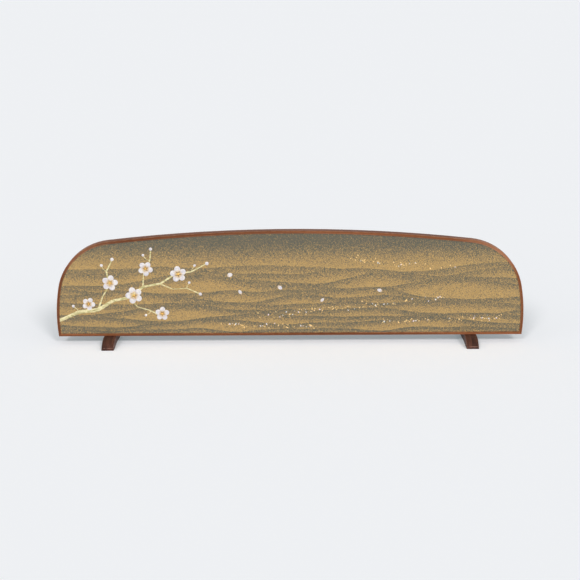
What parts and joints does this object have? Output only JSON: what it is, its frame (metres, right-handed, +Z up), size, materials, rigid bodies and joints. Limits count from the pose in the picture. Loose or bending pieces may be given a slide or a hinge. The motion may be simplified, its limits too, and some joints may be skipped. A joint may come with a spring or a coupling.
{
  "type": "tea ceremony screen",
  "caption": "Low rigid tea ceremony screen: a lacquered panel with a gently arched top and rounded shoulders, edged by a bent wooden strip and carried on arched feet.",
  "frame": {"origin": "on the floor, midway between the feet and midway through the strip's depth", "axes": "+X along the screen, +Y from the shown face to the back, +Z up"},
  "size_m": [0.91, 0.104, 0.2254],
  "materials": {
    "frame_wood": "satin clear lacquer",
    "key_wood": "bare",
    "front_lacquer": "gold-dusted lacquer",
    "back_lacquer": "plain dark lacquer",
    "core_wood": "sawn",
    "peg_bamboo": "bare",
    "foot_wood": "satin clear lacquer",
    "screw_brass": "plain"
  },
  "bodies": {
    "root": {"arch_outer_ply": "frame_wood", "arch_middle_ply": "frame_wood", "arch_inner_ply": "frame_wood", "bottom_rail": "frame_wood", "corner_key_left": "key_wood", "corner_key_right": "key_wood", "front_board": "front_lacquer", "back_board": "back_lacquer", "edge_batten_top": "core_wood", "edge_batten_left": "core_wood", "edge_batten_right": "core_wood", "edge_batten_bottom": "core_wood", "upright_rib_1": "core_wood", "upright_rib_2": "core_wood", "upright_rib_3": "core_wood", "upright_rib_4": "core_wood", "upright_rib_5": "core_wood", "upright_rib_6": "core_wood", "upright_rib_7": "core_wood", "cross_rib_lower": "core_wood", "cross_rib_upper": "core_wood", "frame_pegs": "peg_bamboo", "foot_left": "foot_wood", "foot_right": "foot_wood", "foot_screws": "screw_brass"}
  },
  "joints": []
}
